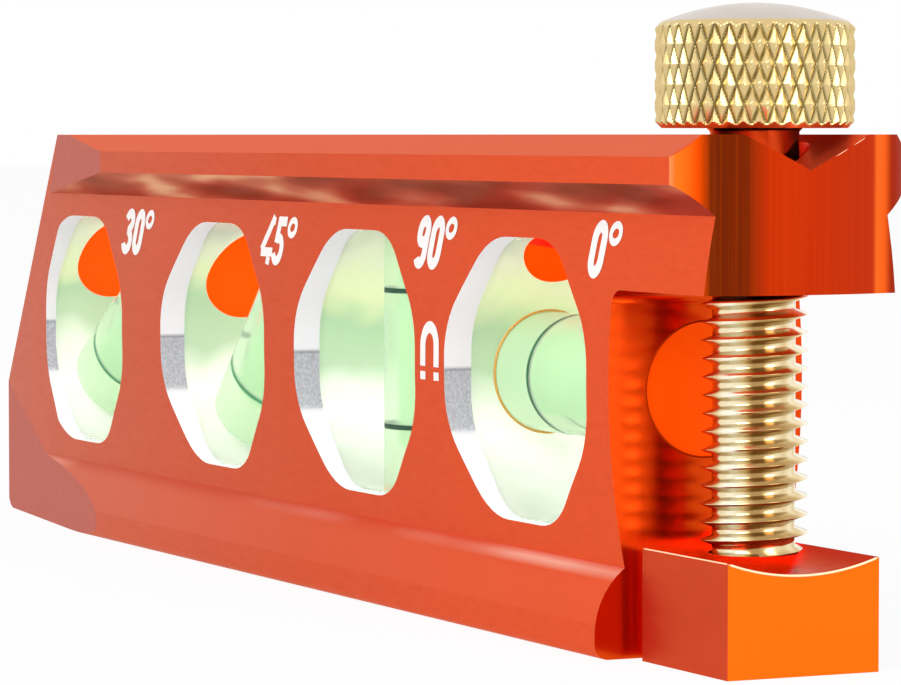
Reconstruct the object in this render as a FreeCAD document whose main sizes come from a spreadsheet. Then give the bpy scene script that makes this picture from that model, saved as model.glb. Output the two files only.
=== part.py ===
import FreeCAD, Part
import math
import os
import re
import Sketcher

# Magnetic spirit level with a conduit clamp. Lengths are in millimetres and angles in degrees.
# +X runs along the level towards the clamp, +Z is up, and the origin is the centre of the base.

document = FreeCAD.newDocument("spirit_level")

# Driving dimensions

SIZES = {
    # the extruded body's section
    "body_length": 188.3,
    "body_height": 46.5,
    "rail_half": 11.5,
    "rail_bevel": 1.9,
    "rail_band": 2.4,
    "rail_slope": 2.65,
    "groove_half": 6.15,
    "groove_depth": 3.05,
    "web_half": 8.5,
    "crown_radius": 82.0,
    "waist_half": 8.2,
    "foot_height": 8.1,
    "foot_half": 11.2,
    "foot_radius": 7.25,
    "foot_corner": 1.4,
    # the slanted nose
    "nose_inset": 27.6,
    "nose_slant": 31.7,
    "nose_corner": 3.2,
    "nose_half": 5.76,
    "nose_round": 0.8,
    "bow_length": 48.45,
    # the clamp end
    "end_radius": 26.0,
    "end_half": 8.4,
    "end_corner": 4.1,
    "end_corner_radius": 3.6,
    "gap_depth": 18.25,
    "gap_top": 13.7,
    "gap_corner": 1.4,
    "jaw_height": 10.0,
    "jaw_half": 7.48,
    "jaw_step": 0.85,
    "saddle_radius": 22.4,
    "relief_radius": 1.0,
    "relief_reach": 6.5,
    # windows
    "window_width": 29.5,
    "window_height": 26.4,
    "window_level": 23.8,
    "window_flat": 13.6,
    "window_side": 9.6,
    "window_round": 8.0,
    "end_web": 4.25,
    "nose_web": 21.4,
    "lens_place": 6.5,
    "lens_thick": 0.5,
    "lens_clearance": 0.1,
    # short bores in the end wall of three windows, level with these heights over the window's middle
    "well_radius": 5.0,
    "well_depth": 2.0,
    "well_rise_30_deg": 8.1,
    "well_rise_45_deg": 7.2,
    "well_rise_0_deg": 13.6,
    # vials
    "vial_radius": 5.75,
    "vial_room": 2.4,
    "vial_seat_30_deg": 0.6,
    "vial_seat_45_deg": 1.6,
    "vial_seat_90_deg": 0.55,
    "vial_seat_0_deg": 0.5,
    "vial_clearance": 0.05,
    "vial_wall": 1.5,
    "vial_end": 4.5,
    "fluid_clearance": 0.05,
    "plug_length": 4.5,
    "ring_gap": 13.7,
    "ring_width": 0.5,
    "ring_thick": 0.25,
    # plug that closes the bore behind the clamp
    "cap_radius": 6.1,
    "cap_clearance": 0.03,
    "cap_thick": 1.6,
    "cap_recess": 0.3,
    # thumbscrew
    "screw_inset": 9.7,
    "screw_radius": 4.76,
    "screw_clearance": 0.05,
    "screw_tip_gap": 1.2,
    "screw_tip_bevel": 0.8,
    "thread_top": 4.6,
    "neck_radius": 3.9,
    "knob_radius": 8.72,
    "knob_height": 9.3,
    "knob_dome": 1.6,
    "knob_bevel": 0.6,
    "knob_lift": 0.55,
    # magnets in the base
    "magnet_radius": 4.75,
    "magnet_depth": 3.2,
    "magnet_clearance": 0.1,
    "magnet_recess": 0.2,
}

# The windows, by the angle of their vial, and the magnets. The places of their centres run from the window
# next to the clamp back towards the nose, as shares of the room between the first window and the last.
WINDOWS = {"30": 1.0, "45": 0.6397, "90": 0.3142, "0": 0.0}
MAGNETS = {"1": 1.1445, "2": 0.8268, "3": 0.1715, "4": -0.1088}
SIZES["window_first"] = "=body_length / 2 - gap_depth - end_web - window_width / 2"
SIZES["window_run"] = "=body_length - gap_depth - end_web - window_width - nose_web"
for key, share in WINDOWS.items():
    SIZES["window_place_%s_deg" % key] = "=window_first - %g * window_run" % share
for key, share in MAGNETS.items():
    SIZES["magnet_place_no_%s" % key] = "=window_first - %g * window_run" % share

sheet = document.addObject("Spreadsheet::Sheet", "Sizes")


def fill_sheet():
    """Writes every size into its own row, with its name as the alias."""
    for row, (alias, size) in enumerate(SIZES.items(), start=1):
        sheet.set("A%d" % row, alias)
        sheet.set("B%d" % row, str(size))
        sheet.setAlias("B%d" % row, alias)
    document.recompute()


fill_sheet()


def formula(text):
    """An expression with the sheet's name before each size."""
    return re.sub(r"[a-z]\w+", lambda word: "Sizes." + word[0] if word[0] in SIZES else word[0], text)


def value(text):
    """The number that an expression of sizes comes to."""
    result = sheet.evalExpression(formula(text))
    return float(getattr(result, "Value", result))


def origin_plane(body, role):
    for feature in body.Origin.OriginFeatures:
        if feature.Role == role:
            return feature


def new_body(name):
    body = document.addObject("PartDesign::Body", name)
    body.Label = name
    return body


def new_sketch(body, role, name, lift=None):
    """A sketch on one of the body's origin planes, lifted off it by an expression."""
    sketch = body.newObject("Sketcher::SketchObject", name)
    sketch.AttachmentSupport = [(origin_plane(body, role), "")]
    sketch.MapMode = "FlatFace"
    if lift is not None:
        sketch.setExpression(".AttachmentOffset.Base.z", formula(lift))
    return sketch


def bind(sketch, constraint, text):
    index = sketch.addConstraint(constraint)
    sketch.setExpression("Constraints[%d]" % index, formula(text))


def outline(sketch, corners):
    """A closed outline. Each corner is x, y and how the edge after it bends: None for a straight
    edge, or a radius and +1 for an arc that turns left, -1 for one that turns right."""
    points = [FreeCAD.Vector(value(x), value(y), 0) for x, y, bend in corners]
    ends = []
    for index, (x, y, bend) in enumerate(corners):
        start = points[index]
        finish = points[(index + 1) % len(points)]
        if bend is None:
            edge = sketch.addGeometry(Part.LineSegment(start, finish), False)
            ends.append((edge, 1, 2))
            continue
        radius, turn = value(bend[0]), bend[1]
        chord = finish - start
        rise = math.sqrt(max(radius ** 2 - chord.Length ** 2 / 4, 0))
        left = FreeCAD.Vector(-chord.y, chord.x, 0).normalize()
        centre = (start + finish) * 0.5 + left * (rise * turn)
        angles = [math.atan2(point.y - centre.y, point.x - centre.x) for point in (start, finish)]
        if turn < 0:
            angles.reverse()
        if angles[1] < angles[0]:
            angles[1] += 2 * math.pi
        circle = Part.Circle(centre, FreeCAD.Vector(0, 0, 1), radius)
        edge = sketch.addGeometry(Part.ArcOfCircle(circle, *angles), False)
        ends.append((edge, 1, 2) if turn > 0 else (edge, 2, 1))
        bind(sketch, Sketcher.Constraint("Radius", edge, radius), bend[0])
    for index, (edge, first, last) in enumerate(ends):
        following, start, unused_end = ends[(index + 1) % len(ends)]
        sketch.addConstraint(Sketcher.Constraint("Coincident", edge, last, following, start))
        x, y, bend = corners[index]
        bind(sketch, Sketcher.Constraint("DistanceX", edge, first, points[index].x), x)
        bind(sketch, Sketcher.Constraint("DistanceY", edge, first, points[index].y), y)


def circle(sketch, x, y, radius):
    centre = FreeCAD.Vector(value(x), value(y), 0)
    edge = sketch.addGeometry(Part.Circle(centre, FreeCAD.Vector(0, 0, 1), value(radius)), False)
    bind(sketch, Sketcher.Constraint("DistanceX", edge, 3, centre.x), x)
    bind(sketch, Sketcher.Constraint("DistanceY", edge, 3, centre.y), y)
    bind(sketch, Sketcher.Constraint("Radius", edge, value(radius)), radius)


def pad(body, sketch, name, length, middle=False):
    feature = body.newObject("PartDesign::Pad", name)
    feature.Profile = sketch
    feature.Midplane = middle
    feature.setExpression("Length", formula(length))
    document.recompute()
    return feature


def pocket(body, sketch, name, length=None, upwards=False):
    """A cut that goes right through both ways, or to a length on one side of its sketch."""
    before = body.Shape.Volume
    feature = body.newObject("PartDesign::Pocket", name)
    feature.Profile = sketch
    if length is None:
        feature.Type = "ThroughAll"
        feature.Midplane = True
    else:
        feature.setExpression("Length", formula(length))
        feature.Reversed = upwards
    document.recompute()
    if body.Shape.Volume >= before:
        raise ValueError(name + " cuts nothing")
    return feature


# The body: one length of extrusion, cut to its nose and its clamp

level_body = new_body("level_body")

section = new_sketch(level_body, "YZ_Plane", "body_section")
web_top = "body_height - rail_bevel - rail_band - rail_slope"
right_side = [
    ("foot_half - foot_corner", "0", ("foot_corner", 1)),
    ("foot_half", "foot_corner", None),
    ("foot_half", "foot_height - sqrt(foot_radius^2 - (foot_radius - foot_half + waist_half)^2)", ("foot_radius", 1)),
    ("waist_half", "foot_height", ("crown_radius", 1)),
    ("web_half", web_top, None),
    ("rail_half", "body_height - rail_bevel - rail_band", None),
    ("rail_half", "body_height - rail_bevel", None),
    ("rail_half - rail_bevel", "body_height", None),
    ("groove_half", "body_height", None),
]
groove_foot = [("0", "body_height - groove_depth", None)]
left_side = []
for index in range(len(right_side) - 1, -1, -1):
    across, up, bend = right_side[index]
    edge_before = right_side[index - 1][2] if index > 0 else None
    left_side.append(("-(%s)" % across, up, edge_before))
outline(section, right_side + groove_foot + left_side)
pad(level_body, section, "extrusion", "body_length", middle=True)

nose = new_sketch(level_body, "XZ_Plane", "nose_outline")
outline(nose, [
    ("nose_corner - body_length / 2", "0", ("nose_corner", -1)),
    ("-body_length / 2", "nose_corner", None),
    ("-body_length / 2", "body_height - nose_slant", None),
    ("nose_inset - body_length / 2", "body_height", None),
    ("nose_inset - body_length / 2", "body_height + 1", None),
    ("-body_length / 2 - 1", "body_height + 1", None),
    ("-body_length / 2 - 1", "-1", None),
    ("nose_corner - body_length / 2", "-1", None),
])
pocket(level_body, nose, "nose_cut")

bow = new_sketch(level_body, "XY_Plane", "bow_outline")
for side in ("", "-"):
    outline(bow, [
        ("-body_length / 2", "%s(nose_half - nose_round)" % side, None),
        ("nose_round - body_length / 2", "%snose_half" % side, None),
        ("bow_length - body_length / 2", "%srail_half" % side, None),
        ("bow_length - body_length / 2", "%s(rail_half + 1)" % side, None),
        ("-body_length / 2 - 1", "%s(rail_half + 1)" % side, None),
        ("-body_length / 2 - 1", "%s(nose_half - nose_round)" % side, None),
    ])
pocket(level_body, bow, "bow_cut")

end_plan = new_sketch(level_body, "XY_Plane", "clamp_end_plan", lift="body_height - gap_top - 1")
end_drop = "(end_radius - sqrt(end_radius^2 - end_half^2))"
outline(end_plan, [
    ("body_length / 2 - %s" % end_drop, "-end_half", ("end_radius", 1)),
    ("body_length / 2 - %s" % end_drop, "end_half", ("end_corner_radius", 1)),
    ("body_length / 2 - end_corner", "rail_half", None),
    ("body_length / 2 - end_corner", "rail_half + 1", None),
    ("body_length / 2 + 1", "rail_half + 1", None),
    ("body_length / 2 + 1", "-rail_half - 1", None),
    ("body_length / 2 - end_corner", "-rail_half - 1", None),
    ("body_length / 2 - end_corner", "-rail_half", ("end_corner_radius", 1)),
])
pocket(level_body, end_plan, "clamp_end_cut", "gap_top + 2", upwards=True)

wall = "body_length / 2 - gap_depth"
gap = new_sketch(level_body, "XZ_Plane", "clamp_gap_outline")
outline(gap, [
    (wall, "jaw_height", None),
    ("body_length / 2 - jaw_step", "jaw_height", None),
    ("body_length / 2 - jaw_step", "-1", None),
    ("body_length / 2 + 1", "-1", None),
    ("body_length / 2 + 1", "body_height - gap_top", None),
    (wall + " + gap_corner", "body_height - gap_top", ("gap_corner", 1)),
    (wall, "body_height - gap_top - gap_corner", None),
])
pocket(level_body, gap, "clamp_gap")

flanks = new_sketch(level_body, "XY_Plane", "jaw_flanks_outline")
for side, turn in (("", 1), ("-", -1)):
    outline(flanks, [
        (wall, "%s(rail_half + 1)" % side, None),
        (wall, "%srelief_reach" % side, ("relief_radius", turn)),
        (wall + " + relief_radius", "%s(relief_reach - relief_radius)" % side, ("relief_radius", turn)),
        (wall + " + 2 * relief_radius", "%srelief_reach" % side, None),
        (wall + " + 2 * relief_radius", "%sjaw_half" % side, None),
        ("body_length / 2 + 1", "%sjaw_half" % side, None),
        ("body_length / 2 + 1", "%s(rail_half + 1)" % side, None),
    ])
pocket(level_body, flanks, "jaw_flanks", "jaw_height", upwards=True)

saddle = new_sketch(level_body, "YZ_Plane", "saddle_outline", lift=wall)
outline(saddle, [
    ("-jaw_half", "jaw_height", ("saddle_radius", 1)),
    ("jaw_half", "jaw_height", None),
    ("jaw_half", "jaw_height + 1", None),
    ("-jaw_half", "jaw_height + 1", None),
])
pocket(level_body, saddle, "saddle_cut", "gap_depth", upwards=True)


def window_corners(centre, shrink="0"):
    """A window's outline: eight sides joined by arcs, made smaller all round for the lens that fits in it."""
    run = "((window_width - window_flat) / 2 - %s)" % shrink
    rise = "((window_height - window_side) / 2 - %s)" % shrink
    slant = "sqrt(%s^2 + %s^2)" % (run, rise)
    radius = "(window_round - %s)" % shrink
    # how far each arc reaches along the sides that it joins
    side_reach = "(%s * (%s - %s) / %s)" % (radius, slant, rise, run)
    flat_reach = "(%s * (%s - %s) / %s)" % (radius, slant, run, rise)
    quarter = [
        ("(window_flat / 2 + %s)" % run, "(window_side / 2 - %s)" % side_reach),
        ("(window_flat / 2 + %s - %s * %s / %s)" % (run, side_reach, run, slant),
         "(window_side / 2 + %s * %s / %s)" % (side_reach, rise, slant)),
        ("(window_flat / 2 + %s * %s / %s)" % (flat_reach, run, slant),
         "(window_side / 2 + %s - %s * %s / %s)" % (rise, flat_reach, rise, slant)),
        ("(window_flat / 2 - %s)" % flat_reach, "(window_side / 2 + %s)" % rise),
    ]
    corners = []
    for sign_x, sign_z, order in (("", "", 1), ("-", "", -1), ("-", "-", 1), ("", "-", -1)):
        for x, z in quarter[::order]:
            corners.append((sign_x + x, sign_z + z))
    rounded = [(radius, 1), None]
    return [("%s + %s" % (centre, x), "window_level + %s" % z, rounded[number % 2])
            for number, (x, z) in enumerate(corners)]


for key in WINDOWS:
    window = new_sketch(level_body, "XZ_Plane", "window_outline_%s" % key)
    outline(window, window_corners("window_place_%s_deg" % key))
    pocket(level_body, window, "window_%s" % key)


def window_span(key):
    """How wide a window is along the line of its vial."""
    lean = math.radians(float(key))
    across = value("window_width")
    down = value("window_height")
    cut_x = (across - value("window_flat")) / 2
    cut_z = (down - value("window_side")) / 2
    reach = [across / 2 / max(math.cos(lean), 1e-9), down / 2 / max(math.sin(lean), 1e-9)]
    # the slanted side passes through (flat / 2, height / 2) and (width / 2, side / 2)
    normal = FreeCAD.Vector(cut_z, 0, cut_x).normalize()
    distance = normal.x * across / 2 + normal.z * value("window_side") / 2
    reach.append(distance / (normal.x * math.cos(lean) + normal.z * math.sin(lean)))
    return 2 * min(reach)


# Every vial has the same length. It is seated in the far wall of its window, so its middle lies off
# the window's middle by a shift along its own line.
SIZES["vial_length"] = "=window_width - vial_room"
for key in WINDOWS:
    SIZES["vial_span_%s_deg" % key] = round(window_span(key), 4)
    SIZES["vial_shift_%s_deg" % key] = "=vial_span_%s_deg / 2 + vial_seat_%s_deg - vial_length / 2" % (key, key)
fill_sheet()


def seat_body(body, key):
    """Turns a body that is made along its own X axis to the angle of its window, and moves it there."""
    body.Placement = FreeCAD.Placement(FreeCAD.Vector(), FreeCAD.Rotation(FreeCAD.Vector(0, 1, 0), -float(key)))
    shift = "vial_shift_%s_deg" % key
    body.setExpression(".Placement.Base.x", formula("window_place_%s_deg + %s * cos(%s)" % (key, shift, key)))
    body.setExpression(".Placement.Base.z", formula("window_level + %s * sin(%s)" % (shift, key)))
    document.recompute()


def box_corners(low_x, high_x, low_y, high_y):
    return [(low_x, low_y, None), (high_x, low_y, None), (high_x, high_y, None), (low_x, high_y, None)]


for key in WINDOWS:
    before = level_body.Shape.Volume
    shift = "vial_shift_%s_deg" % key
    reach = "(vial_length / 2 + vial_clearance)"
    seat = new_sketch(level_body, "XZ_Plane", "vial_seat_outline_%s" % key)
    lean = FreeCAD.Rotation(FreeCAD.Vector(0, 0, 1), float(key))
    seat.AttachmentOffset = FreeCAD.Placement(FreeCAD.Vector(), lean)
    seat.setExpression(".AttachmentOffset.Base.x", formula("window_place_%s_deg" % key))
    seat.setExpression(".AttachmentOffset.Base.y", formula("window_level"))
    seat_ends = (shift + " - " + reach, shift + " + " + reach)
    outline(seat, box_corners(*seat_ends, "0", "vial_radius + vial_clearance"))
    seat_cut = level_body.newObject("PartDesign::Groove", "vial_seat_%s" % key)
    seat_cut.Profile = seat
    seat_cut.ReferenceAxis = (seat, ["H_Axis"])
    seat_cut.Angle = 360
    document.recompute()
    if level_body.Shape.Volume >= before:
        raise ValueError("vial seat cuts nothing: " + key)

for key in ("30", "45", "0"):
    well = new_sketch(level_body, "YZ_Plane", "well_outline_%s" % key, lift="window_place_%s_deg" % key)
    circle(well, "0", "window_level + well_rise_%s_deg" % key, "well_radius")
    pocket(level_body, well, "well_%s" % key, "window_width / 2 + well_depth")

bore = new_sketch(level_body, "YZ_Plane", "end_bore_outline", lift=wall)
circle(bore, "0", "window_level", "cap_radius + cap_clearance")
bore_length = "body_length / 2 - gap_depth - window_place_0_deg - window_width / 2 + 1"
pocket(level_body, bore, "end_bore", bore_length)

screw_place = "body_length / 2 - screw_inset"
screw_hole = new_sketch(level_body, "XY_Plane", "screw_hole_outline", lift="body_height")
circle(screw_hole, screw_place, "0", "screw_radius + screw_clearance")
pocket(level_body, screw_hole, "screw_hole", "gap_top + 1")

magnet_seats = new_sketch(level_body, "XY_Plane", "magnet_seats_outline")
for key in MAGNETS:
    circle(magnet_seats, "magnet_place_no_%s" % key, "0", "magnet_radius + magnet_clearance")
pocket(level_body, magnet_seats, "magnet_seats", "magnet_depth", upwards=True)


def spun(name, corner_lists, axis="H_Axis"):
    """A body turned from one or more closed outlines about its own axis."""
    body = new_body(name)
    sketch = new_sketch(body, "XZ_Plane", name + "_outline")
    for corners in corner_lists:
        outline(sketch, corners)
    revolution = body.newObject("PartDesign::Revolution", name + "_turning")
    revolution.Profile = sketch
    revolution.ReferenceAxis = (sketch, [axis])
    revolution.Angle = 360
    document.recompute()
    return body


bodies = [level_body]

# The vials: a clear tube closed by a plug, the fluid in it and two rings let into its outside

for key in WINDOWS:
    half = "(vial_length / 2)"
    bore_radius = "(vial_radius - vial_wall)"
    ring_in = "(ring_gap / 2 - ring_width / 2)"
    ring_out = "(ring_gap / 2 + ring_width / 2)"
    ring_foot = "(vial_radius - ring_thick)"
    tube = spun("vial_tube_%s" % key, [[
        ("-%s" % half, "0", None),
        ("-%s" % half, "vial_radius", None),
        ("-%s" % ring_out, "vial_radius", None),
        ("-%s" % ring_out, ring_foot, None),
        ("-%s" % ring_in, ring_foot, None),
        ("-%s" % ring_in, "vial_radius", None),
        (ring_in, "vial_radius", None),
        (ring_in, ring_foot, None),
        (ring_out, ring_foot, None),
        (ring_out, "vial_radius", None),
        (half, "vial_radius", None),
        (half, bore_radius, None),
        ("vial_end - %s" % half, bore_radius, None),
        ("vial_end - %s" % half, "0", None),
    ]])
    rings = spun("vial_rings_%s" % key, [
        box_corners("-%s" % ring_out, "-%s" % ring_in, ring_foot, "vial_radius"),
        box_corners(ring_in, ring_out, ring_foot, "vial_radius"),
    ])
    inner_radius = "%s - fluid_clearance" % bore_radius
    fluid = spun("vial_fluid_%s" % key, [box_corners(
        "vial_end - %s + fluid_clearance" % half, "%s - plug_length - fluid_clearance" % half, "0", inner_radius)])
    plug = spun("vial_plug_%s" % key, [box_corners("%s - plug_length" % half, half, "0", inner_radius)])
    for body in (tube, rings, fluid, plug):
        seat_body(body, key)
        bodies.append(body)

# The clear lenses over each window, front and back

for key in WINDOWS:
    for side, lift in (("front", "lens_place"), ("back", "-(lens_place + lens_thick)")):
        lens = new_body("lens_%s_%s" % (side, key))
        face = new_sketch(lens, "XZ_Plane", "lens_outline_%s_%s" % (side, key), lift=lift)
        outline(face, window_corners("window_place_%s_deg" % key, "lens_clearance"))
        pad(lens, face, "lens_%s_%s_plate" % (side, key), "lens_thick")
        bodies.append(lens)

# The cap that closes the bore behind the clamp

end_cap = new_body("end_cap")
cap_face = new_sketch(end_cap, "YZ_Plane", "end_cap_outline", lift=wall + " - cap_recess - cap_thick")
circle(cap_face, "0", "window_level", "cap_radius")
pad(end_cap, cap_face, "end_cap_disc", "cap_thick")
bodies.append(end_cap)

# The thumbscrew, turned in one piece

tip = "(jaw_height - saddle_radius + sqrt(saddle_radius^2 - jaw_half^2) + screw_tip_gap)"
knob_foot = "(body_height + knob_lift)"
knob_side = "(body_height + knob_lift + knob_height)"
dome_radius = "(((knob_radius - knob_bevel)^2 + knob_dome^2) / (2 * knob_dome))"
thumbscrew = spun("thumbscrew", [[
    ("0", tip, None),
    ("screw_radius - screw_tip_bevel", tip, None),
    ("screw_radius", tip + " + screw_tip_bevel", None),
    ("screw_radius", "body_height - thread_top - (screw_radius - neck_radius)", None),
    ("neck_radius", "body_height - thread_top", None),
    ("neck_radius", knob_foot, None),
    ("knob_radius - knob_bevel", knob_foot, None),
    ("knob_radius", knob_foot + " + knob_bevel", None),
    ("knob_radius", knob_side + " - knob_bevel", None),
    ("knob_radius - knob_bevel", knob_side, (dome_radius, 1)),
    ("0", knob_side + " + knob_dome", None),
]], axis="V_Axis")
thumbscrew.setExpression(".Placement.Base.x", formula(screw_place))
bodies.append(thumbscrew)

# The magnets, set flush in the base

for key in MAGNETS:
    magnet = new_body("base_magnet_%s" % key)
    magnet_face = new_sketch(magnet, "XY_Plane", "magnet_outline_%s" % key, lift="magnet_recess")
    circle(magnet_face, "magnet_place_no_%s" % key, "0", "magnet_radius")
    pad(magnet, magnet_face, "magnet_disc_%s" % key, "magnet_depth - magnet_recess")
    bodies.append(magnet)

document.recompute()
for thing in document.Objects:
    if "Invalid" in thing.State or "Error" in thing.State:
        raise ValueError("failed: " + thing.Label)
os.makedirs("parts", exist_ok=True)
for body in bodies:
    if body.Shape.isNull() or not body.Shape.isValid():
        raise ValueError("no valid shape: " + body.Label)
    body.Shape.exportStep("parts/%s.step" % body.Label)
    print(body.Label, len(body.Shape.Solids), round(body.Shape.Volume, 2))
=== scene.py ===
import bmesh
import bpy
import numpy as np
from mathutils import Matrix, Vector


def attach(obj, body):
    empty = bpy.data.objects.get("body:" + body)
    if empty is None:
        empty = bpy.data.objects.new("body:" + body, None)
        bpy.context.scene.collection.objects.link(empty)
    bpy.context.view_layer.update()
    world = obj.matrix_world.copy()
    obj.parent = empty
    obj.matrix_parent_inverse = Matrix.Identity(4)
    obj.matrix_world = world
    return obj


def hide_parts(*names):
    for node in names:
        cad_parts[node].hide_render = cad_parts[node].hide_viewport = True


# A magnetic spirit level: its finishes, its thumbscrew's thread and knurl, its printing and its light.
# Sizes are in millimetres unless a name says otherwise, and each mesh is written in metres.

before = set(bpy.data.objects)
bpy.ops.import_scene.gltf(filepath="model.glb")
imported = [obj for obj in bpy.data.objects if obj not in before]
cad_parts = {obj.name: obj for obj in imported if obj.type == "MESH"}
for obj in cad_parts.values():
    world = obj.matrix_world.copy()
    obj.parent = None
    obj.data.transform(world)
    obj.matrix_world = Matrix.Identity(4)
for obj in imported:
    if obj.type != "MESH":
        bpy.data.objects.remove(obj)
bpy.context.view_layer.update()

MM = 0.001
TURN = 2 * np.pi

WINDOW_PLACES = {"30": -58.0, "45": -16.6, "90": 20.8, "0": 56.9}
WINDOW_LEVEL = 23.8
WINDOW_HALF = (14.75, 13.2)
WINDOW_FLAT = 6.8
WINDOW_SIDE = 4.8
GAP_WALL = 75.9
BODY_END = 94.15
GAP_CEILING = 32.8
SCREW_AXIS = 84.45


# Shaders

def group_socket(group, name, direction, kind="NodeSocketFloat", value=None):
    socket = group.interface.new_socket(name=name, in_out=direction, socket_type=kind)
    if value is not None:
        socket.default_value = value
    return socket


def math_node(tree, kind, first, second=None):
    """One step of arithmetic. Each input is a socket or a number."""
    node = tree.nodes.new("ShaderNodeMath")
    node.operation = kind
    for socket, source in zip(node.inputs, (first, second)):
        if isinstance(source, bpy.types.NodeSocket):
            tree.links.new(source, socket)
        elif source is not None:
            socket.default_value = source
    return node.outputs[0]


def map_range(tree, source, low, high, to_low, to_high):
    node = tree.nodes.new("ShaderNodeMapRange")
    tree.links.new(source, node.inputs["Value"])
    node.inputs["From Min"].default_value = low
    node.inputs["From Max"].default_value = high
    node.inputs["To Min"].default_value = to_low
    node.inputs["To Max"].default_value = to_high
    return node.outputs["Result"]


def noise_node(tree, place, stretch, detail):
    """Noise on the object's own coordinates, which a vector stretches."""
    stretched = tree.nodes.new("ShaderNodeVectorMath")
    stretched.operation = "MULTIPLY"
    stretched.inputs[1].default_value = stretch
    noise = tree.nodes.new("ShaderNodeTexNoise")
    noise.inputs["Scale"].default_value = 1.0
    noise.inputs["Detail"].default_value = detail
    tree.links.new(place.outputs["Object"], stretched.inputs[0])
    tree.links.new(stretched.outputs[0], noise.inputs["Vector"])
    return noise.outputs["Fac"]


def mix_node(tree, share, first, second):
    """Mixes two colours, each a socket or plain values."""
    node = tree.nodes.new("ShaderNodeMix")
    node.data_type = "RGBA"
    tree.links.new(share, node.inputs["Factor"])
    for socket, source in ((node.inputs[6], first), (node.inputs[7], second)):
        if isinstance(source, bpy.types.NodeSocket):
            tree.links.new(source, socket)
        else:
            socket.default_value = (*source, 1)
    return node.outputs[2]


def grain_group():
    """Fine uneven grain: noise on the object's own coordinates, stretched by a vector and spread over a
    range."""
    group = bpy.data.node_groups.new("fine_grain", "ShaderNodeTree")
    group_socket(group, "Stretch", "INPUT", "NodeSocketVector", (900.0, 900.0, 900.0))
    group_socket(group, "Low", "INPUT", value=0.3)
    group_socket(group, "High", "INPUT", value=0.4)
    group_socket(group, "Spread", "OUTPUT")
    group_socket(group, "Noise", "OUTPUT")
    inlet = group.nodes.new("NodeGroupInput")
    outlet = group.nodes.new("NodeGroupOutput")
    place = group.nodes.new("ShaderNodeTexCoord")
    stretch = group.nodes.new("ShaderNodeVectorMath")
    stretch.operation = "MULTIPLY"
    noise = group.nodes.new("ShaderNodeTexNoise")
    noise.inputs["Scale"].default_value = 1.0
    noise.inputs["Detail"].default_value = 3.0
    spread = group.nodes.new("ShaderNodeMapRange")
    spread.inputs["From Min"].default_value = 0.3
    spread.inputs["From Max"].default_value = 0.7
    link = group.links.new
    link(place.outputs["Object"], stretch.inputs[0])
    link(inlet.outputs["Stretch"], stretch.inputs[1])
    link(stretch.outputs[0], noise.inputs["Vector"])
    link(noise.outputs["Fac"], spread.inputs["Value"])
    link(inlet.outputs["Low"], spread.inputs["To Min"])
    link(inlet.outputs["High"], spread.inputs["To Max"])
    link(spread.outputs["Result"], outlet.inputs["Spread"])
    link(noise.outputs["Fac"], outlet.inputs["Noise"])
    return group


def ramp_node(tree, stops):
    """A colour ramp over 0 to 1, from pairs of a place and a colour."""
    node = tree.nodes.new("ShaderNodeValToRGB")
    band = node.color_ramp
    while len(band.elements) < len(stops):
        band.elements.new(0.5)
    for element, (place, colour) in zip(band.elements, stops):
        element.position = place
        element.color = (*colour, 1)
    return node


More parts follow.
